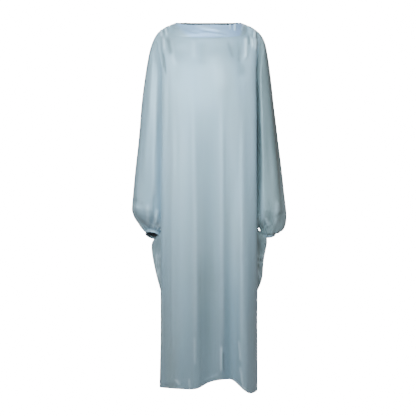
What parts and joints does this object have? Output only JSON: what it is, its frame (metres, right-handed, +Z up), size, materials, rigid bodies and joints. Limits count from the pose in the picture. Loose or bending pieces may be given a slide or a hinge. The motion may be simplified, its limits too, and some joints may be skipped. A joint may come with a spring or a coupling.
{
  "type": "prayer dress",
  "caption": "Long loose prayer dress with a boat neck, a wide neckband and batwing sleeves drawn into narrow cuffs.",
  "frame": {"origin": "mount wearer_shoulders: the middle of the wearer's shoulder line, level with the middle of the front neckline", "axes": "+Z up the wearer's body, -Y the front, +X the wearer's left"},
  "size_m": [0.5958, 0.328, 1.4203],
  "materials": {
    "front_panel": "satin",
    "back_panel": "satin",
    "neckband_front": "satin",
    "neckband_back": "satin",
    "sleeve_left": "satin",
    "sleeve_right": "satin",
    "cuff_left": "satin",
    "cuff_right": "satin"
  },
  "bodies": {
    "root": {"front_panel": "front_panel", "back_panel": "back_panel", "neckband_front": "neckband_front", "neckband_back": "neckband_back", "sleeve_left": "sleeve_left", "sleeve_right": "sleeve_right", "cuff_left": "cuff_left", "cuff_right": "cuff_right"}
  },
  "joints": []
}
